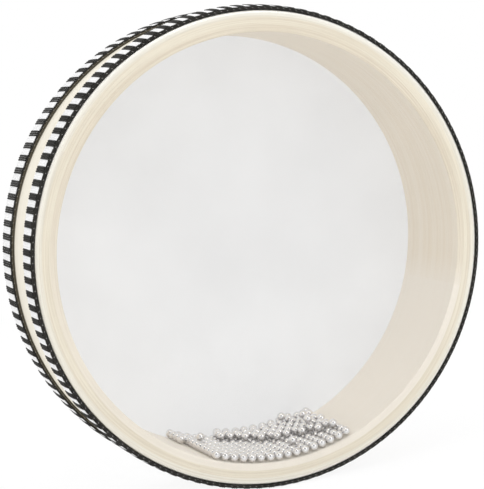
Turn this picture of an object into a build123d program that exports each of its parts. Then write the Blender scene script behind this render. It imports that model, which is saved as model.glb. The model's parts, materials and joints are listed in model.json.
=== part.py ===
from build123d import *
import os
from math import cos, degrees, pi, radians, sin, sqrt, tan

# Ocean drum: a hoop of bent wood plies with a clear front head, a milky back head,
# a woven trim round each rim, and loose steel balls that roll inside.
# Millimetres. The drum's axis is Y, the clear head faces -Y, +Z is up,
# and the origin is the middle of the drum.

# Hoop
hoop_diameter = 250.0
hoop_wall = 11.5
drum_depth = 60.0
ply_count = 3
glue_line = 0.08
outer_bevel = 2.2
seam_gap = 0.3
first_seam_angle = 17.5
seam_step_angle = 97.0

# Heads: one film each, drawn over the hoop's bevelled edge, with its own edge held under the trim
film = 0.25
film_gap = 0.05

# Trim: a ribbon with a corded edge, and a raised stripe across it in each of its dark checks
trim_width = 17.5
trim_setback = 0.5
trim_gap = 0.05
cord_width = 2.0
cord_height = 1.6
ribbon_thickness = 1.6
stripe_pitch = 7.05
stripe_width = 3.5
stripe_height = 0.5
stripe_margin = 0.4
front_trim_turn_angle = -0.2
back_trim_turn_angle = -1.2

# Balls: rows on the hoop's wall, a heap of rows on top of them, and a few on the crest
ball_diameter = 4.76
ball_clearance = 0.3
row_gap = 0.38
heap_gap = 0.7
scatter_share = 0.3
scatter_rate = 2.4
row_wander = 0.15
heap_wander = 0.25
wander_rate = 1.7
wander_turn = 2.3
row_shift = 0.15
heap_shift = 0.3

# Angles round the hoop are counted from its lowest point, positive towards +X
row_left_front_angle = -20.5
row_left_back_angle = -25.5
row_right_angle = 20.5
heap_left_angle = -12.3
heap_right_angle = 18.3
heap_back_taper_angle = 5.0
heap_front_taper_angle = 34.3
heap_shelf = 10.0
stray_angles = {1: 4.5, 5: -20.0}
crest_angles = {3: 14.0, 5: 13.0, 7: 10.5}

# Sizes that follow from the ones above
hoop_radius = hoop_diameter / 2
bore_radius = hoop_radius - hoop_wall
head_face = drum_depth / 2
hoop_face = head_face - film
ply_thickness = (hoop_wall - (ply_count - 1) * glue_line) / ply_count
film_inside = hoop_radius + film_gap
film_outside = film_inside + film * sin(radians(45))
trim_inside = film_outside + trim_gap
ribbon_outside = trim_inside + ribbon_thickness
ball_radius = ball_diameter / 2
row_spacing = ball_diameter + ball_clearance
lane_limit = hoop_face - ball_clearance - ball_radius
lane_count = int(2 * lane_limit // row_spacing) + 1
lane_pitch = 2 * lane_limit / (lane_count - 1)
row_radius = bore_radius - ball_clearance - ball_radius
heap_radius = row_radius - sqrt(row_spacing**2 - (lane_pitch / 2) ** 2)
crest_radius = heap_radius - row_spacing
heap_run = 2 * lane_limit - lane_pitch - heap_shelf

os.makedirs("parts", exist_ok=True)


def save(piece, name):
    piece.part.label = name
    export_step(piece.part, f"parts/{name}.step")


# Hoop: each ply is a strip bent into a ring, with its butt seam turned away from its neighbour's
for number in range(ply_count):
    inside = bore_radius + number * (ply_thickness + glue_line)
    seam_plane = Plane.XY.rotated((0, first_seam_angle + number * seam_step_angle, 0))
    with BuildPart() as ply:
        with BuildSketch(seam_plane) as section:
            with Locations((inside + ply_thickness / 2, 0)):
                Rectangle(ply_thickness, 2 * hoop_face)
            if number == ply_count - 1:
                chamfer(section.vertices().group_by(Axis.X)[-1], outer_bevel)
        revolve(axis=Axis.Y, revolution_arc=360 - degrees(seam_gap / inside))
    save(ply, f"hoop_ply_{number + 1}")

# Heads: a flat film that turns down over the hoop's bevelled edge
bevel_shift = film * tan(radians(22.5))
bevel_end = hoop_face - outer_bevel
for name, side in (("front_head", -1), ("back_head", 1)):
    film_line = [
        (0, hoop_face),
        (film_inside - outer_bevel, hoop_face),
        (film_inside, bevel_end),
        (film_outside, bevel_end + film_outside - film_inside),
        (film_inside - outer_bevel + bevel_shift, head_face),
        (0, head_face),
    ]
    with BuildPart() as head:
        with BuildSketch(Plane.XY):
            with BuildLine():
                Polyline([(r, side * y) for r, y in film_line], close=True)
            make_face()
        revolve(axis=Axis.Y)
    save(head, name)

# Trim: both ribbons lie the same way round, with the corded edge towards the front
cord_top = trim_inside + cord_height
ribbon_width = trim_width - cord_width
stripe_count = round(2 * pi * ribbon_outside / stripe_pitch)
stripe_length = ribbon_width - 2 * stripe_margin
with BuildPart() as stripe:
    with BuildSketch():
        with BuildLine():
            Polyline((0, -stripe_width / 2), (stripe_height, 0), (0, stripe_width / 2), close=True)
        make_face()
    extrude(amount=stripe_length / 2, both=True)

front_trim_start = -head_face + trim_setback
back_trim_start = head_face - trim_setback - trim_width
trims = (
    ("front", front_trim_start, front_trim_turn_angle),
    ("back", back_trim_start, back_trim_turn_angle),
)
for name, start, turn_angle in trims:
    cord_end = start + cord_width
    trim_end = start + trim_width
    with BuildPart() as ribbon:
        with BuildSketch(Plane.XY):
            with BuildLine():
                Polyline(
                    (trim_inside, start),
                    (cord_top, start + cord_width / 2),
                    (ribbon_outside, cord_end),
                    (ribbon_outside, trim_end),
                    (trim_inside, trim_end),
                    close=True,
                )
            make_face()
        revolve(axis=Axis.Y)
    save(ribbon, f"{name}_trim_ribbon")

    with BuildPart(Plane.ZX.offset((cord_end + trim_end) / 2)) as stripes:
        with PolarLocations(ribbon_outside, stripe_count, turn_angle):
            add(stripe.part)
    save(stripes, f"{name}_trim_stripes")

# Balls: twenty-faced balls with the true ball's volume, each turned to stand square to the wall
faceted_volume = 5 * (3 + sqrt(5)) / 12
ball_edge = (pi / 6 / faceted_volume) ** (1 / 3) * ball_diameter
golden = (1 + sqrt(5)) / 2
ball_corners = []
for near in (-ball_edge / 2, ball_edge / 2):
    for far in (-golden * ball_edge / 2, golden * ball_edge / 2):
        ball_corners.append((near, 0, far))
        ball_corners.append((far, near, 0))
        ball_corners.append((0, far, near))
with BuildPart() as ball:
    ConvexPolyhedron(ball_corners)


def row_places(first, last, radius, along, gap, wander, row):
    """Angle and place along the axis of each ball in a row, a little uneven, as balls settle."""
    step = degrees((ball_diameter + gap) / radius)
    scatter = degrees(scatter_share * gap / radius)
    places = []
    for n in range(int((last - first) // step) + 1):
        angle = first + step * n + scatter * sin(scatter_rate * n + row)
        places.append((angle, along + wander * sin(wander_rate * n + wander_turn * row)))
    return places


def ball_place(angle, radius, along):
    turn = radians(angle)
    return Location((radius * sin(turn), along, -radius * cos(turn)), (0, -angle, 0))


# Rows on the wall, from the front head to the back head, each shifted so that its balls don't line up
row_step = degrees((ball_diameter + row_gap) / row_radius)
for lane in range(lane_count):
    along = -lane_limit + lane * lane_pitch
    backward = lane / (lane_count - 1)
    edge = row_left_front_angle + (row_left_back_angle - row_left_front_angle) * backward
    first = edge + row_step * (lane * row_shift % 1)
    places = row_places(first, row_right_angle, row_radius, along, row_gap, row_wander, lane)
    with BuildPart() as row:
        with Locations(*[ball_place(angle, row_radius, y) for angle, y in places]):
            add(ball.part)
    save(row, f"ball_row_{lane + 1:02d}")

# Heap rows lie over the gaps between wall rows; the heap is widest at the back head
heap_step = degrees((ball_diameter + heap_gap) / heap_radius)
crest_places = []
for lane in range(lane_count - 1):
    along = -lane_limit + (lane + 0.5) * lane_pitch
    from_back = lane_limit - lane_pitch / 2 - along
    edge = heap_left_angle + heap_front_taper_angle * max(0, from_back - heap_shelf) / heap_run
    first = edge + heap_step * (lane * heap_shift % 1)
    last = heap_right_angle - heap_back_taper_angle * (lane == lane_count - 2)
    places = row_places(first, last, heap_radius, along, heap_gap, heap_wander, lane)
    if lane in crest_angles and places:
        angle, y = min(places, key=lambda place: abs(place[0] - crest_angles[lane]))
        crest_places.append(ball_place(angle, crest_radius, y))
    if lane in stray_angles:
        places.append((stray_angles[lane], along))
    if places:
        with BuildPart() as row:
            with Locations(*[ball_place(angle, heap_radius, y) for angle, y in places]):
                add(ball.part)
        save(row, f"heap_row_{lane + 1:02d}")

# Crest balls lie on balls of the heap
with BuildPart() as crest:
    with Locations(*crest_places):
        add(ball.part)
save(crest, "crest_balls")
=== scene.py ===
import json
from collections import namedtuple
from math import cos, hypot, pi, radians, sin, sqrt

import bmesh
import bpy
from mathutils import Matrix, Vector


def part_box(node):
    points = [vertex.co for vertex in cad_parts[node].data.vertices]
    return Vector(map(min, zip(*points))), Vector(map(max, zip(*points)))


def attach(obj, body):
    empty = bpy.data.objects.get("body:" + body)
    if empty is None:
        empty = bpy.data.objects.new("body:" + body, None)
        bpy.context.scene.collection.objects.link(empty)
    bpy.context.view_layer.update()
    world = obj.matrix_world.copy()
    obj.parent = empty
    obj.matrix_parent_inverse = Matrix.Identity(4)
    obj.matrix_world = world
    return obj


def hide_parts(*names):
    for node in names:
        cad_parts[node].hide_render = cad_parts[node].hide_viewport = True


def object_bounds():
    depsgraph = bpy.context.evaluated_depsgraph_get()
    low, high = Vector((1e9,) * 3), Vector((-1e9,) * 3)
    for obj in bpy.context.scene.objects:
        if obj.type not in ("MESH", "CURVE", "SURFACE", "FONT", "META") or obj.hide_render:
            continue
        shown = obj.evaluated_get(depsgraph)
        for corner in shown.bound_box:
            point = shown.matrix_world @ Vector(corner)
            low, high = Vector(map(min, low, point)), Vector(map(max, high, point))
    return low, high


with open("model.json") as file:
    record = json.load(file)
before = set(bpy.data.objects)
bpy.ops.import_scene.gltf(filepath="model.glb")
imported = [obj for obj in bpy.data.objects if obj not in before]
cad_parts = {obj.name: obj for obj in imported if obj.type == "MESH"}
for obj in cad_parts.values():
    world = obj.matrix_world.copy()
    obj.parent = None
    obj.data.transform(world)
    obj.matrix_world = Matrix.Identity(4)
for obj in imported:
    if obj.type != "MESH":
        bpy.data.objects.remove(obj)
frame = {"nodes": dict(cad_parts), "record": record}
cad_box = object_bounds()

# Ocean drum: a hoop of bent plies, a clear and a milky head, two striped trims and loose steel balls.
# Metres. The axis is Y, the clear head faces -Y, and angles are counted from the lowest point towards +X.
MM = 0.001

# Hoop
FIRST_SEAM = radians(72.5)
SEAM_STEP = radians(97)
SEAM_GAP = 0.02 * MM
OUTER_ROUND = 2.2 * MM
INNER_ROUND = 0.7 * MM
PLY_ROUND = 0.05 * MM
ROUND_STEPS = 5
RING_STEPS = 360

# Wood: a pale and a deep colour for the strips' faces and for their lined cut edges
INNER_FACE = ((0.93, 0.86, 0.75, 1), (0.87, 0.78, 0.645, 1))
OUTER_FACE = ((0.79, 0.75, 0.66, 1), (0.73, 0.68, 0.56, 1))
INNER_CUT = ((0.84, 0.77, 0.64, 1), (0.74, 0.66, 0.53, 1))
MIDDLE_CUT = ((0.88, 0.82, 0.69, 1), (0.78, 0.71, 0.58, 1))
OUTER_CUT = ((0.90, 0.86, 0.76, 1), (0.80, 0.75, 0.64, 1))
CUT_DEPTH = (0.1 * MM, 0.5 * MM)
CUT_LINES = (0.42, 0.58)
VENEER_TONE = (0.36, 0.62)
VENEER_BAND_SHARE = 0.6
VENEER_SHIFTS = (0.0, 3.1, 7.7)
PORE_SPAN = (0.60, 0.72)
PORE_SHARE = 0.5
PORE_SHADE = 0.82
WOOD_ROUGHNESS = (0.42, 0.58)
WOOD_BUMP = (0.12, 0.2 * MM)
WOOD_GLOSS = 0.35

# Each noise: its scales per metre, for a veneer along the strip and across it, and its detail
VENEER_BANDS = ((2.0, 330, 1), 2.0)
VENEER_STREAKS = ((12, 1300, 1), 4.0)
VENEER_PORES = ((90, 4200, 1), 2.0)
CLEAR_SMUDGES = ((14, 14, 14), 4.0)
MILKY_CLOUDS = ((11, 11, 11), 5.0)
MILKY_GRAIN = ((700, 700, 700), 2.0)
YARN_FIBRES = ((2600, 900, 2600), 3.0)
YARN_DYE = ((60, 60, 60), 2.0)
STEEL_SMEARS = ((420, 420, 420), 3.0)
NOISE_ROUGHNESS = 0.6
# Most of a noise lies in this span
NOISE_SPAN = (0.3, 0.7)

# The inner strip is paler over its first stretch with painted light, and thinned over a short stretch at its
# end
STRIP_THINNED_AND_LIT = (0.94, 0.89, 0.81, 1)
PAINTED_LIGHT_FADE = (0.20, 0.40)
PAINTED_LIGHT_SHARE = 0.75
STRIP_END_LENGTH = 14 * MM
STRIP_END_SHARE = 0.6

# A painted highlight makes the outer ply's rounded edge pale, most of all round the top, where the light
# falls. The pale part fades out over these spans, down from the hoop's face and in from its outside
PAINTED_HIGHLIGHT = (0.93, 0.91, 0.85, 1)
HIGHLIGHT_DEPTH = (1.5 * MM, 3 * MM)
HIGHLIGHT_WIDTH = (1.2 * MM, 3.2 * MM)
HIGHLIGHT_LOW_SHARE = 0.25
HIGHLIGHT_TOP = 0.8

# A painted shadow darkens the shell in front of the back trim's cord and goes a little way under it
PAINTED_SHADOW = (0.115, 0.10, 0.07, 1)
SHADOW_AHEAD = (1.2 * MM, 2.4 * MM)
SHADOW_UNDER = (1 * MM, 2 * MM)
SHADOW_SHARE = 0.9

# Heads
FILM = 0.2 * MM
FILM_GAP = 0.05 * MM
FOLD_STEPS = 8
HEAD_MIDDLE = 40 * MM
CLEAR_FILM = (0.95, 0.95, 0.94, 1)
CLEAR_HAZE = (0.002, 0.006)
CLEAR_HAZE_SPAN = (0.35, 0.7)
CLEAR_ROUGHNESS = (0.05, 0.12)
CLEAR_IOR = 1.4
CLEAR_GLOSS = 0.6
MILKY_LEVELS = (0.85, 0.90)
MILKY_ROUGHNESS = (0.16, 0.22)
MILKY_BUMP = (0.03, 0.05 * MM)
MILKY_GLOW_LEVELS = (0.90, 0.94)
MILKY_GLOW_SPAN = (0.35, 0.65)
MILKY_GLOW_SHARE = 0.8

# Trim
CHECK_PITCH = 7.05 * MM
TRIM_TURNS = {"front": radians(0.2), "back": radians(1.2)}
# How far the free edge lifts all round, how much more at the top, and how far it ends short of the CAD's
TRIM_LIFT = {"front": 0.0, "back": -0.4 * MM}
TRIM_LIFT_AT_TOP = {"front": 1.1 * MM, "back": 0.0}
TRIM_CUT = {"front": 2.4 * MM, "back": 0.0}
GROUND_RIB = 0.35 * MM
GROUND_CROWN = 0.2 * MM
GROUND_STATIONS = 8
EDGE_DROP = 0.6 * MM
CHECK_WIDTH = 3.5 * MM
CHECK_HEIGHT = 0.6 * MM
CHECK_SINK = 0.3 * MM
CHECK_END = 0.6 * MM
CHECK_END_STEPS = 4
RIBS_PER_CHECK = 3
RIB_STEPS = 4
RIB_FILL = 1.03
RIB_SIDES = 8
RIB_SHORTER = 0.3 * MM
CORD_WIDTH = 2.0 * MM
STRAND_RADIUS = 0.55 * MM
STRAND_LAY = 3.5 * MM
STRAND_PLIES = 2
STRAND_BUMP = 0.1
STRAND_STEPS = 10
STRAND_SIDES = 10
# Each strand of the cord: how far it lies under the top and behind the front, in strand radii, and its phase
CORD_STRANDS = ((0.0, 0.0, 0.0), (1.5, 0.0, pi / 2), (0.1, 1.8, pi), (0.3, 3.6, 0.0))
STITCH_LENGTH = 1.3 * MM
STITCH_RADIUS = 0.16 * MM
STITCH_SLANT = (0.6, 0.8)
STITCH_BLUNT = 0.02
STITCH_SETBACK = 0.1 * MM
STITCH_DEPTH = 1.85 * STRAND_RADIUS
STITCH_SIDES = 8
STITCH_ROWS = 6
WHITE_YARN = ((0.68, 0.68, 0.69, 1), (0.90, 0.90, 0.90, 1))
BLACK_YARN = ((0.007, 0.0068, 0.006, 1), (0.036, 0.034, 0.030, 1))
STITCH_YARN = ((0.22, 0.21, 0.20, 1), (0.42, 0.41, 0.39, 1))
YARN_FIBRE_SHARE = 0.6
YARN_ROUGHNESS = (0.65, 0.9)
YARN_BUMP = (0.5, 0.12 * MM)
YARN_GLOSS = 0.15
WHITE_SHEEN = 0.1
BLACK_SHEEN = 0.02

# Balls
BALL_RADIUS = 2.38 * MM
BALL_SEGMENTS = 32
BALL_RINGS = 20
WELD = 0.001 * MM
STEEL = ((0.79, 0.78, 0.78, 1), (0.88, 0.87, 0.87, 1))
STEEL_METALLIC = 0.88
STEEL_ROUGHNESS = (0.06, 0.12)
STEEL_BUMP = (0.02, 0.05 * MM)

# Edges sharper than these angles aren't shaded smooth
EDGE_ANGLE = radians(40)
RIB_EDGE_ANGLE = radians(60)
YARN_EDGE_ANGLE = radians(80)

# The photograph's camera, fitted to the drum's rims, in the photograph's pixels
PHOTO_WIDTH = 484
FOCAL_PIXELS = 1696.3
CAMERA_DISTANCE = 0.8893
CAMERA_AZIMUTH = radians(22.6)
CAMERA_ELEVATION = radians(5)
CAMERA_ROLL = radians(6)
RIM_CENTRE_PIXELS = (25.3, 5.3)
SENSOR_WIDTH = 36

# Studio: to the camera the floor is white, with a share of plain paper near the drum that keeps its shadow
FLOOR_REACH = 4.0
FLOOR_LEVEL = 0.94
FLOOR_FADE = (0.15, 0.7)
FLOOR_WHITE = (0.9, 1.0)
ROOM_DIRECTION = (-0.31, -0.75, 0.59)
ROOM_EDGES = (radians(28), radians(21))
ROOM_LEVEL = 0.15
LAMP_SIZE = 0.8
LAMPS = {
    "key": ((-1.7, -1.1, 1.2), 6.0),
    "fill": ((0.7, -1.8, 1.2), 5.0),
    "top": ((-0.2, -0.7, 1.7), 6.0),
    "back": ((0.4, 1.9, 0.9), 2.5),
}

Ring = namedtuple("Ring", "inner outer front back")


def ring_span(node):
    """Radii and ends along the axis of a ring-shaped CAD node."""
    low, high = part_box(node)
    radii = [hypot(v.co.x, v.co.z) for v in frame["nodes"][node].data.vertices]
    return Ring(min(radii), max(radii), low.y, high.y)


plies = [ring_span(f"hoop_ply_{number}") for number in (1, 2, 3)]
bore = plies[0].inner
hoop_radius = plies[-1].outer
hoop_face = plies[0].back
head_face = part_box("back_head")[1].y


def at(angle, radius, along):
    return Vector((radius * sin(angle), along, -radius * cos(angle)))


def grey(level):
    return (level, level, level, 1)


# Meshes


def loft(rings, stations, loop=False):
    """A skin over rings of points. A loop joins the last ring to the first, and other skins are capped.

    stations holds the length along the skin at each ring, and the UV map named wrap holds
    that length and the length round the ring, in metres.
    """
    count = len(rings[0])
    around = [0.0]
    for number in range(count):
        step = Vector(rings[0][(number + 1) % count]) - Vector(rings[0][number])
        around.append(around[-1] + step.length)
    faces = []
    wraps = []
    for number in range(len(stations) - 1):
        here = number * count
        there = (number + 1) % len(rings) * count
        for place in range(count):
            after = (place + 1) % count
            faces.append((here + place, here + after, there + after, there + place))
            near, far = around[place], around[place + 1]
            wraps += [
                (stations[number], near),
                (stations[number], far),
                (stations[number + 1], far),
                (stations[number + 1], near),
            ]
    if not loop:
        last = (len(rings) - 1) * count
        faces.append(tuple(reversed(range(count))))
        faces.append(tuple(range(last, last + count)))
        wraps += [(stations[0], around[place]) for place in reversed(range(count))]
        wraps += [(stations[-1], around[place]) for place in range(count)]
    points = [tuple(point) for ring in rings for point in ring]
    return points, faces, wraps


def build(name, skins, sharp=EDGE_ANGLE):
    """One object from a list of lofted skins, with outward normals and smooth shading."""
    points, faces, wraps = [], [], []
    for skin_points, skin_faces, skin_wraps in skins:
        shift = len(points)
        points += skin_points
        faces += [tuple(corner + shift for corner in face) for face in skin_faces]
        wraps += skin_wraps
    mesh = bpy.data.meshes.new(name)
    mesh.from_pydata(points, [], faces)
    layer = mesh.uv_layers.new(name="wrap")
    layer.data.foreach_set("uv", [value for wrap in wraps for value in wrap])
    return finish_mesh(name, mesh, sharp)


def finish_mesh(name, mesh, sharp):
    shell = bmesh.new()
    shell.from_mesh(mesh)
    bmesh.ops.recalc_face_normals(shell, faces=shell.faces)
    shell.to_mesh(mesh)
    shell.free()
    mesh.shade_smooth()
    mesh.set_sharp_from_angle(angle=sharp)
    piece = bpy.data.objects.new(name, mesh)
    bpy.context.scene.collection.objects.link(piece)
    return piece


def place(piece, body, nodes, slot, material):
    piece.data.materials.append(material)
    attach(piece, body)
    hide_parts(*nodes)


def rounded(corners, steps):
    """An outline of (radius, along) points from corners of (radius, along, rounding)."""
    outline = []
    for number, (radius, along, rounding) in enumerate(corners):
        corner = Vector((radius, along))
        before = Vector(corners[number - 1][:2])
        after = Vector(corners[(number + 1) % len(corners)][:2])
        start = corner + (before - corner).normalized() * rounding
        end = corner + (after - corner).normalized() * rounding
        for step in range(steps + 1):
            t = step / steps
            outline.append((1 - t) ** 2 * start + 2 * t * (1 - t) * corner + t**2 * end)
    return outline


def circle(radius, along):
    return [at(2 * pi * step / RING_STEPS, radius, along) for step in range(RING_STEPS)]


# Node trees


class Graph:
    """The node tree of a material or a world, with short ways to add and join nodes."""

    def __init__(self, owner):
        owner.use_nodes = True
        self.tree = owner.node_tree
        self.tree.nodes.clear()

    def node(self, kind, inputs=None, **settings):
        made = self.tree.nodes.new("ShaderNode" + kind)
        for name, value in settings.items():
            setattr(made, name, value)
        for name, value in (inputs or {}).items():
            if isinstance(value, bpy.types.NodeSocket):
                self.tree.links.new(value, made.inputs[name])
            else:
                made.inputs[name].default_value = value
        return made

    def point(self):
        return self.node("TexCoord").outputs["Object"]

    def part(self, vector, axis):
        return self.node("SeparateXYZ", {"Vector": vector}).outputs[axis]

    def length(self, vector):
        return self.node("VectorMath", {0: vector}, operation="LENGTH").outputs["Value"]

    def from_axis(self, point):
        """A point's distance from the drum's axis."""
        flat = self.node("VectorMath", {0: point, 1: (1, 0, 1)}, operation="MULTIPLY").outputs[0]
        return self.length(flat)

    def math(self, operation, first, second=0.0):
        return self.node("Math", {0: first, 1: second}, operation=operation).outputs[0]

    def times(self, first, second):
        return self.math("MULTIPLY", first, second)

    def weigh(self, first, second, share):
        """A share of the first value, and the rest from the second."""
        return self.math("ADD", self.times(first, share), self.times(second, 1 - share))

    def span(self, value, low, high, new_low, new_high):
        inputs = {"Value": value, 1: low, 2: high, 3: new_low, 4: new_high}
        return self.node("MapRange", inputs).outputs[0]

    def rise(self, value, low, high):
        return self.span(value, low, high, 0.0, 1.0)

    def vary(self, noise, low, high):
        return self.span(noise, *NOISE_SPAN, low, high)

    def noise(self, vector, scale, detail):
        """Noise on a vector stretched by a scale of (x, y, z) per metre."""
        mapping = self.node("Mapping", {"Vector": vector, "Scale": scale})
        inputs = {"Vector": mapping.outputs[0], "Scale": 1.0, "Detail": detail, "Roughness": NOISE_ROUGHNESS}
        return self.node("TexNoise", inputs).outputs["Fac"]

    def mix(self, factor, first, second):
        inputs = {"Factor": factor, 6: first, 7: second}
        return self.node("Mix", inputs, data_type="RGBA").outputs[2]

    def bump(self, height, strength, distance):
        inputs = {"Height": height, "Strength": strength, "Distance": distance}
        return self.node("Bump", inputs).outputs[0]

    def principled(self, inputs):
        return self.node("BsdfPrincipled", inputs).outputs[0]

    def blend(self, factor, first, second):
        return self.node("MixShader", {0: factor, 1: first, 2: second}).outputs[0]

    def output(self, shader, kind="OutputMaterial"):
        self.node(kind, {"Surface": shader})


def start_material(name):
    material = bpy.data.materials.new(name)
    return material, Graph(material)


def wood(name, face, cut, shift, ply_marks_and_light=None):
    """Bent veneer: streaks run round the ring, cut edges are lined, and the last argument adds a ply's own
    marks and its painted light and shade.
    """
    material, graph = start_material(name)
    wrap = graph.node("UVMap", uv_map="wrap").outputs[0]
    point = graph.point()
    moved = graph.node("Mapping", {"Vector": wrap, "Location": (shift, shift, 0)}).outputs[0]
    bands = graph.noise(moved, *VENEER_BANDS)
    streaks = graph.noise(moved, *VENEER_STREAKS)
    pores = graph.noise(moved, *VENEER_PORES)
    tone = graph.rise(graph.weigh(bands, streaks, VENEER_BAND_SHARE), *VENEER_TONE)
    pale, deep = face
    colour = graph.mix(tone, deep, pale)
    pore = tuple(PORE_SHADE * value for value in deep[:3]) + (1,)
    colour = graph.mix(graph.span(pores, *PORE_SPAN, 0.0, PORE_SHARE), colour, pore)
    from_middle = graph.math("ABSOLUTE", graph.part(point, "Y"))
    edge = graph.rise(from_middle, hoop_face - CUT_DEPTH[1], hoop_face - CUT_DEPTH[0])
    cut_pale, cut_deep = cut
    lines = graph.mix(graph.rise(streaks, *CUT_LINES), cut_deep, cut_pale)
    colour = graph.mix(edge, colour, lines)
    if ply_marks_and_light:
        colour = ply_marks_and_light(graph, wrap, point, colour)
    inputs = {
        "Base Color": colour,
        "Roughness": graph.vary(streaks, *WOOD_ROUGHNESS),
        "Normal": graph.bump(streaks, *WOOD_BUMP),
        "Specular IOR Level": WOOD_GLOSS,
    }
    graph.output(graph.principled(inputs))
    return material


def inner_light_and_thinning(graph, wrap, point, colour):
    """Painted light makes the strip paler where it starts, and its other end is thinned towards the seam."""
    length = graph.part(wrap, "X")
    seam = 2 * pi * bore
    # painted light over the strip's first stretch
    start = graph.span(length, *PAINTED_LIGHT_FADE, PAINTED_LIGHT_SHARE, 0.0)
    end = graph.span(length, seam - STRIP_END_LENGTH, seam, 0.0, STRIP_END_SHARE)
    return graph.mix(graph.math("MAXIMUM", start, end), colour, STRIP_THINNED_AND_LIT)


def outer_highlight_and_shadow(graph, wrap, point, colour):
    """A painted highlight on the rounded edge, palest round the top, and a painted shadow beside the back
    trim's cord.
    """
    along = graph.part(point, "Y")
    # painted highlight: the rounded edge is paler towards the top, where the light falls
    top = graph.span(graph.part(point, "Z"), 0.0, HIGHLIGHT_TOP * hoop_radius, HIGHLIGHT_LOW_SHARE, 1.0)
    near_face, below_face = HIGHLIGHT_DEPTH
    depth = graph.rise(graph.math("ABSOLUTE", along), hoop_face - below_face, hoop_face - near_face)
    near_outside, inside = HIGHLIGHT_WIDTH
    width = graph.rise(graph.from_axis(point), hoop_radius - inside, hoop_radius - near_outside)
    colour = graph.mix(graph.times(depth, graph.times(width, top)), colour, PAINTED_HIGHLIGHT)
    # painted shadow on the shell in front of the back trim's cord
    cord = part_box("back_trim_ribbon")[0].y
    beside = graph.span(along, cord - SHADOW_AHEAD[1], cord - SHADOW_AHEAD[0], 0.0, SHADOW_SHARE)
    under = graph.span(along, cord + SHADOW_UNDER[0], cord + SHADOW_UNDER[1], 1.0, 0.0)
    return graph.mix(graph.times(beside, under), colour, PAINTED_SHADOW)


def clear_film():
    """Clear polyester film: a faint haze with smudges, and gloss at grazing angles."""
    material, graph = start_material("clear_film")
    smudges = graph.noise(graph.point(), *CLEAR_SMUDGES)
    haze = graph.span(smudges, *CLEAR_HAZE_SPAN, *CLEAR_HAZE)
    gloss = graph.times(graph.node("Fresnel", {"IOR": CLEAR_IOR}).outputs[0], CLEAR_GLOSS)
    inputs = {
        "Base Color": CLEAR_FILM,
        "Metallic": 1.0,
        "Roughness": graph.vary(smudges, *CLEAR_ROUGHNESS),
        "Alpha": graph.math("ADD", haze, gloss),
    }
    graph.output(graph.principled(inputs))
    return material


def milky_film():
    """Milky polyester film, faintly cloudy, with a soft gloss. Most of the light goes through it."""
    material, graph = start_material("milky_film")
    point = graph.point()
    clouds = graph.noise(point, *MILKY_CLOUDS)
    grain = graph.noise(point, *MILKY_GRAIN)
    low, high = MILKY_LEVELS
    inputs = {
        "Base Color": graph.mix(clouds, grey(low), grey(high)),
        "Roughness": graph.vary(clouds, *MILKY_ROUGHNESS),
        "Normal": graph.bump(grain, *MILKY_BUMP),
    }
    film = graph.principled(inputs)
    low, high = MILKY_GLOW_LEVELS
    through = graph.mix(graph.rise(clouds, *MILKY_GLOW_SPAN), grey(low), grey(high))
    glow = graph.node("BsdfTranslucent", {"Color": through}).outputs[0]
    graph.output(graph.blend(MILKY_GLOW_SHARE, film, glow))
    return material


def yarn(name, colours, sheen, shadow_radius=None):
    """Woven yarn: fine fibres and uneven dye. Inside the radius given, a painted shadow darkens it."""
    material, graph = start_material(name)
    point = graph.point()
    fibres = graph.noise(point, *YARN_FIBRES)
    dye = graph.noise(point, *YARN_DYE)
    tone = graph.weigh(fibres, dye, YARN_FIBRE_SHARE)
    colour = graph.mix(graph.vary(tone, 0.0, 1.0), *colours)
    if shadow_radius:
        # painted shadow, darker nearer the drum's axis
        distance = graph.from_axis(point)
        shaded = graph.span(distance, shadow_radius - STRAND_RADIUS, shadow_radius, SHADOW_SHARE, 0.0)
        colour = graph.mix(shaded, colour, PAINTED_SHADOW)
    inputs = {
        "Base Color": colour,
        "Roughness": graph.vary(fibres, *YARN_ROUGHNESS),
        "Normal": graph.bump(fibres, *YARN_BUMP),
        "Sheen Weight": sheen,
        "Specular IOR Level": YARN_GLOSS,
    }
    graph.output(graph.principled(inputs))
    return material


def steel():
    """Polished steel shot with faint smears."""
    material, graph = start_material("steel_ball")
    smears = graph.noise(graph.point(), *STEEL_SMEARS)
    inputs = {
        "Base Color": graph.mix(smears, *STEEL),
        "Metallic": STEEL_METALLIC,
        "Roughness": graph.vary(smears, *STEEL_ROUGHNESS),
        "Normal": graph.bump(smears, *STEEL_BUMP),
    }
    graph.output(graph.principled(inputs))
    return material


# Hoop


def make_ply(number, material):
    """One ply: a strip bent into a ring, with a butt seam and eased edges."""
    ring = plies[number]
    is_last = number == len(plies) - 1
    outer = ring.outer if is_last else plies[number + 1].inner
    inner_edge = INNER_ROUND if number == 0 else PLY_ROUND
    outer_edge = OUTER_ROUND if is_last else PLY_ROUND
    corners = [
        (ring.inner, ring.front, inner_edge),
        (outer, ring.front, outer_edge),
        (outer, ring.back, outer_edge),
        (ring.inner, ring.back, inner_edge),
    ]
    section = rounded(corners, ROUND_STEPS)
    first = FIRST_SEAM - SEAM_STEP * number
    sweep = 2 * pi - SEAM_GAP / ring.inner
    angles = [first - sweep * step / RING_STEPS for step in range(RING_STEPS + 1)]
    rings = [[at(angle, radius, along) for radius, along in section] for angle in angles]
    stations = [sweep * step / RING_STEPS * ring.inner for step in range(RING_STEPS + 1)]
    ply = build(f"bent_ply_{number + 1}", [loft(rings, stations)])
    place(ply, "drum", [f"hoop_ply_{number + 1}"], "hoop_wood", material)


# Heads


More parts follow.
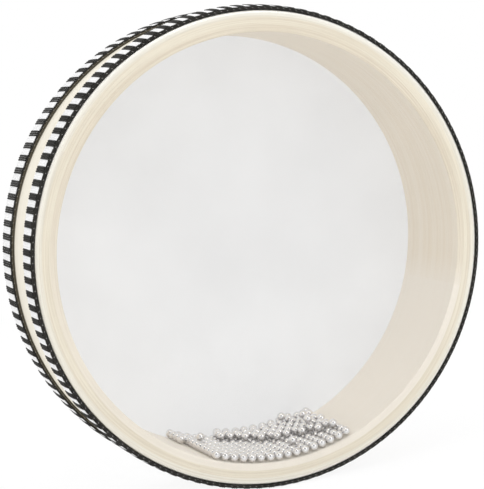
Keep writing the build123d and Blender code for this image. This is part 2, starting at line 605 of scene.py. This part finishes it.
def make_head(name, node, side, slot, material):
    """One film: flat across, and turned down over the hoop's rounded edge."""
    edge = hoop_radius + FILM_GAP
    fold = hoop_face - OUTER_ROUND
    under = head_face - FILM
    inner_corners = [(HEAD_MIDDLE, under, 0), (edge, under, OUTER_ROUND), (edge, fold, 0)]
    outer_corners = [
        (edge + FILM, fold, 0),
        (edge + FILM, head_face, OUTER_ROUND + FILM),
        (HEAD_MIDDLE, head_face, 0),
    ]
    outline = rounded(inner_corners, FOLD_STEPS) + rounded(outer_corners, FOLD_STEPS)
    rings = [circle(radius, side * along) for radius, along in outline]
    stations = [0.0]
    for before, after in zip(outline, outline[1:]):
        stations.append(stations[-1] + (after - before).length)
    head = build(name, [loft(rings, stations)])
    place(head, "drum", [node], slot, material)


# Trim


class Trim:
    """The shape of one trim: a ribbon that swells a little between its corded edge and its free edge."""

    def __init__(self, side):
        self.side = side
        self.ribbon = ring_span(f"{side}_trim_ribbon")
        stripes = ring_span(f"{side}_trim_stripes")
        self.surface = stripes.inner
        self.start = self.ribbon.front + CORD_WIDTH / 2
        self.end = stripes.back - TRIM_CUT[side]
        self.back = self.ribbon.back - TRIM_CUT[side]
        self.checks = round(2 * pi * self.surface / CHECK_PITCH)

    def radius(self, along, angle):
        across = (along - self.start) / (self.end - self.start)
        lift = TRIM_LIFT[self.side] + TRIM_LIFT_AT_TOP[self.side] * max(0, -cos(angle)) ** 2
        return self.surface - GROUND_CROWN * (2 * across - 1) ** 2 + lift * across

    def stations(self, count):
        return [self.start + (self.end - self.start) * step / count for step in range(count + 1)]


def make_ground(trim, material):
    """The white ribbon, with fine ribs across it: as many in a white check as in a dark one."""
    ribs = trim.checks * 2 * RIBS_PER_CHECK
    steps = ribs * RIB_STEPS
    inner = trim.ribbon.inner
    rings = []
    for step in range(steps):
        angle = 2 * pi * step / steps
        rise = GROUND_RIB * abs(sin(ribs * angle / 2))
        ring = [at(angle, inner, trim.start)]
        for along in trim.stations(GROUND_STATIONS):
            ring.append(at(angle, trim.radius(along, angle) + rise, along))
        ring.append(at(angle, trim.radius(trim.back, angle) - EDGE_DROP, trim.back))
        ring.append(at(angle, inner, trim.back))
        rings.append(ring)
    stations = [2 * pi * trim.surface * step / steps for step in range(steps + 1)]
    ground = build(f"{trim.side}_trim_ground", [loft(rings, stations, loop=True)], YARN_EDGE_ANGLE)
    place(ground, "drum", [f"{trim.side}_trim_ribbon"], "white_ribbon", material)


def rib_skin(trim, angle, end):
    """One dark rib: a half-round bar across the ribbon that rounds down at its free end."""
    width = CHECK_WIDTH / RIBS_PER_CHECK * RIB_FILL
    rows = [along for along in trim.stations(GROUND_STATIONS) if along < end - CHECK_END]
    for step in range(CHECK_END_STEPS + 1):
        rows.append(end - CHECK_END * (1 - sin(pi / 2 * step / CHECK_END_STEPS)))
    rings = []
    for along in rows:
        inside = max(0.0, 1 - (end - along) / CHECK_END)
        height = CHECK_HEIGHT * sqrt(max(0.0, 1 - inside**2))
        base = trim.radius(along, angle)
        ring = []
        for side in range(RIB_SIDES + 1):
            turn = pi * side / RIB_SIDES
            ring.append(at(angle + width / 2 * cos(turn) / base, base + height * sin(turn), along))
        for half_width in (-width / 2, width / 2):
            ring.append(at(angle + half_width / base, base - CHECK_SINK, along))
        rings.append(ring)
    return loft(rings, [along - trim.start for along in rows])


def make_checks(trim, material):
    """The dark checks: a few ribs each, the outer ones a little shorter."""
    skins = []
    middle = (RIBS_PER_CHECK - 1) / 2
    for number in range(trim.checks):
        centre = pi + TRIM_TURNS[trim.side] + 2 * pi * number / trim.checks
        for rib in range(RIBS_PER_CHECK):
            shift = (rib - middle) * CHECK_WIDTH / RIBS_PER_CHECK
            end = trim.end - RIB_SHORTER * abs(rib - middle)
            skins.append(rib_skin(trim, centre + shift / trim.surface, end))
    checks = build(f"{trim.side}_trim_checks", skins, RIB_EDGE_ANGLE)
    place(checks, "drum", [f"{trim.side}_trim_stripes"], "black_braid", material)


def strand_skin(radius, along, phase):
    """One strand of the corded edge: plies twisted together, closed round the drum."""
    turns = round(2 * pi * radius / STRAND_LAY)
    steps = turns * STRAND_STEPS
    rings = []
    for step in range(steps):
        angle = 2 * pi * step / steps
        ring = []
        for side in range(STRAND_SIDES):
            turn = 2 * pi * side / STRAND_SIDES
            lay = STRAND_PLIES * turn - turns * angle + phase
            thick = STRAND_RADIUS * (1 + STRAND_BUMP * cos(lay))
            ring.append(at(angle, radius + thick * cos(turn), along + thick * sin(turn)))
        rings.append(ring)
    stations = [2 * pi * radius * step / steps for step in range(steps + 1)]
    return loft(rings, stations, loop=True)


def make_cord(trim, material):
    """The corded edge: twisted strands, three side by side and one under the front one."""
    top = trim.ribbon.outer - STRAND_RADIUS
    front = trim.ribbon.front + STRAND_RADIUS
    skins = []
    for under, behind, phase in CORD_STRANDS:
        skins.append(strand_skin(top - under * STRAND_RADIUS, front + behind * STRAND_RADIUS, phase))
    cord = build(f"{trim.side}_trim_cord", skins, YARN_EDGE_ANGLE)
    place(cord, "drum", [f"{trim.side}_trim_ribbon"], "black_braid", material)


def stitch_skin(angle, radius, along):
    """One slanted stitch across the front of the corded edge."""
    run, climb = STITCH_SLANT
    rings = []
    for row in range(STITCH_ROWS + 1):
        t = row / STITCH_ROWS
        bulge = STITCH_RADIUS * sqrt(max(STITCH_BLUNT, 1 - (2 * t - 1) ** 2))
        reach = (t - 0.5) * STITCH_LENGTH
        ring = []
        for side in range(STITCH_SIDES):
            turn = 2 * pi * side / STITCH_SIDES
            sideways = (run * reach + bulge * cos(turn)) / radius
            ring.append(at(angle + sideways, radius + climb * reach, along + bulge * sin(turn)))
        rings.append(ring)
    return loft(rings, [STITCH_LENGTH * row / STITCH_ROWS for row in range(STITCH_ROWS + 1)])


def make_stitches(trim, material):
    radius = trim.ribbon.outer - STITCH_DEPTH
    along = trim.ribbon.front + STITCH_SETBACK
    count = 2 * trim.checks
    skins = [stitch_skin(2 * pi * (number + 0.5) / count, radius, along) for number in range(count)]
    stitches = build(f"{trim.side}_trim_stitches", skins, YARN_EDGE_ANGLE)
    place(stitches, "drum", [f"{trim.side}_trim_ribbon"], "white_ribbon", material)


# Balls


def ball_centres(node):
    """The middles of a node's faceted balls, one for each connected group of corners."""
    solid = bmesh.new()
    solid.from_mesh(frame["nodes"][node].data)
    bmesh.ops.remove_doubles(solid, verts=solid.verts, dist=WELD)
    centres = []
    for first in solid.verts:
        if first.tag:
            continue
        first.tag = True
        group = [first]
        for corner in group:
            for edge in corner.link_edges:
                other = edge.other_vert(corner)
                if not other.tag:
                    other.tag = True
                    group.append(other)
        centres.append(sum((corner.co for corner in group), Vector()) / len(group))
    solid.free()
    return centres


def make_balls(body, node, material):
    balls = bmesh.new()
    for centre in ball_centres(node):
        bmesh.ops.create_uvsphere(
            balls,
            u_segments=BALL_SEGMENTS,
            v_segments=BALL_RINGS,
            radius=BALL_RADIUS,
            matrix=Matrix.Translation(centre),
        )
    name = f"polished_{node}"
    mesh = bpy.data.meshes.new(name)
    balls.to_mesh(mesh)
    balls.free()
    piece = finish_mesh(name, mesh, pi)
    place(piece, body, [node], "steel_ball", material)


# Studio


def make_floor():
    """Plain paper. Seen directly, through a head or mirrored it is mostly white, and all white far off."""
    level = cad_box[0].z
    near, far = -FLOOR_REACH, FLOOR_REACH
    mesh = bpy.data.meshes.new("floor")
    corners = [(near, near, level), (far, near, level), (far, far, level), (near, far, level)]
    mesh.from_pydata(corners, [], [(0, 1, 2, 3)])
    floor = bpy.data.objects.new("floor", mesh)
    bpy.context.scene.collection.objects.link(floor)
    material, graph = start_material("floor")
    path = graph.node("LightPath").outputs
    seen = graph.math("MAXIMUM", path["Is Camera Ray"], path["Is Transmission Ray"])
    seen = graph.math("MAXIMUM", seen, path["Is Glossy Ray"])
    paper = graph.node("BsdfDiffuse", {"Color": grey(FLOOR_LEVEL)}).outputs[0]
    white = graph.node("Emission", {"Color": grey(1), "Strength": 1.0}).outputs[0]
    away = graph.length(graph.point())
    factor = graph.times(seen, graph.span(away, *FLOOR_FADE, *FLOOR_WHITE))
    graph.output(graph.blend(factor, paper, white))
    mesh.materials.append(material)


def make_world():
    """White all round, but reflections show a dark room beyond the lamps."""
    world = bpy.data.worlds.new("studio")
    bpy.context.scene.world = world
    graph = Graph(world)
    direction = graph.node("TexCoord").outputs["Generated"]
    room = Vector(ROOM_DIRECTION).normalized()
    facing = graph.node("VectorMath", {0: direction, 1: room}, operation="DOT_PRODUCT").outputs["Value"]
    edge, middle = ROOM_EDGES
    level = graph.span(facing, cos(edge), cos(middle), 1.0, ROOM_LEVEL)
    white = graph.node("Background", {"Color": grey(1), "Strength": 1.0}).outputs[0]
    mirrored = graph.node("Background", {"Color": level, "Strength": 1.0}).outputs[0]
    glossy = graph.node("LightPath").outputs["Is Glossy Ray"]
    graph.output(graph.blend(glossy, white, mirrored), "OutputWorld")


def make_lamp(name, position, power):
    data = bpy.data.lights.new(name, "AREA")
    data.size = LAMP_SIZE
    data.energy = power
    lamp = bpy.data.objects.new(name, data)
    lamp.location = position
    lamp.rotation_euler = Vector(position).to_track_quat("Z", "Y").to_euler()
    bpy.context.scene.collection.objects.link(lamp)


def make_camera():
    """The photograph's camera looks at the middle of the front rim, turned about the drum's axis."""
    target = Vector((0, -head_face, 0))
    turn = Matrix.Rotation(CAMERA_ROLL, 3, "Y")
    back = turn @ Vector((
        -sin(CAMERA_AZIMUTH) * cos(CAMERA_ELEVATION),
        -cos(CAMERA_AZIMUTH) * cos(CAMERA_ELEVATION),
        sin(CAMERA_ELEVATION),
    ))
    right = (turn @ Vector((0, 0, 1))).cross(back).normalized()
    axes = Matrix((right, back.cross(right), back)).transposed()
    data = bpy.data.cameras.new("camera")
    data.sensor_fit = "HORIZONTAL"
    data.sensor_width = SENSOR_WIDTH
    data.lens = FOCAL_PIXELS * SENSOR_WIDTH / PHOTO_WIDTH
    data.shift_x = -RIM_CENTRE_PIXELS[0] / PHOTO_WIDTH
    data.shift_y = RIM_CENTRE_PIXELS[1] / PHOTO_WIDTH
    camera = bpy.data.objects.new("camera", data)
    camera.matrix_world = Matrix.Translation(target + CAMERA_DISTANCE * back) @ axes.to_4x4()
    bpy.context.scene.collection.objects.link(camera)
    bpy.context.scene.camera = camera


ply_woods = [
    wood("inner_ply_wood", INNER_FACE, INNER_CUT, VENEER_SHIFTS[0], inner_light_and_thinning),
    wood("middle_ply_wood", INNER_FACE, MIDDLE_CUT, VENEER_SHIFTS[1]),
    wood("outer_ply_wood", OUTER_FACE, OUTER_CUT, VENEER_SHIFTS[2], outer_highlight_and_shadow),
]
for number, ply_wood in enumerate(ply_woods):
    make_ply(number, ply_wood)

make_head("clear_head", "front_head", -1, "clear_film", clear_film())
make_head("milky_head", "back_head", 1, "milky_film", milky_film())

white_yarn = yarn("white_yarn", WHITE_YARN, WHITE_SHEEN)
black_yarn = yarn("black_yarn", BLACK_YARN, BLACK_SHEEN)
stitch_yarn = yarn("stitch_thread", STITCH_YARN, WHITE_SHEEN)
# The back cord's lower strands carry the painted shadow that lies in front of it
shadow_radius = ring_span("back_trim_ribbon").outer - STRAND_RADIUS
shaded_yarn = yarn("shaded_yarn", BLACK_YARN, BLACK_SHEEN, shadow_radius)
for side, cord_yarn in (("front", black_yarn), ("back", shaded_yarn)):
    trim = Trim(side)
    make_ground(trim, white_yarn)
    make_checks(trim, black_yarn)
    make_cord(trim, cord_yarn)
    make_stitches(trim, stitch_yarn)

ball_steel = steel()
for body, nodes in frame["record"]["behaviour"]["bodies"].items():
    if body != "drum":
        for node in nodes:
            make_balls(body, node, ball_steel)

make_floor()
make_world()
for name, (position, power) in LAMPS.items():
    make_lamp(name, position, power)
make_camera()
bpy.context.scene.view_settings.view_transform = "Standard"
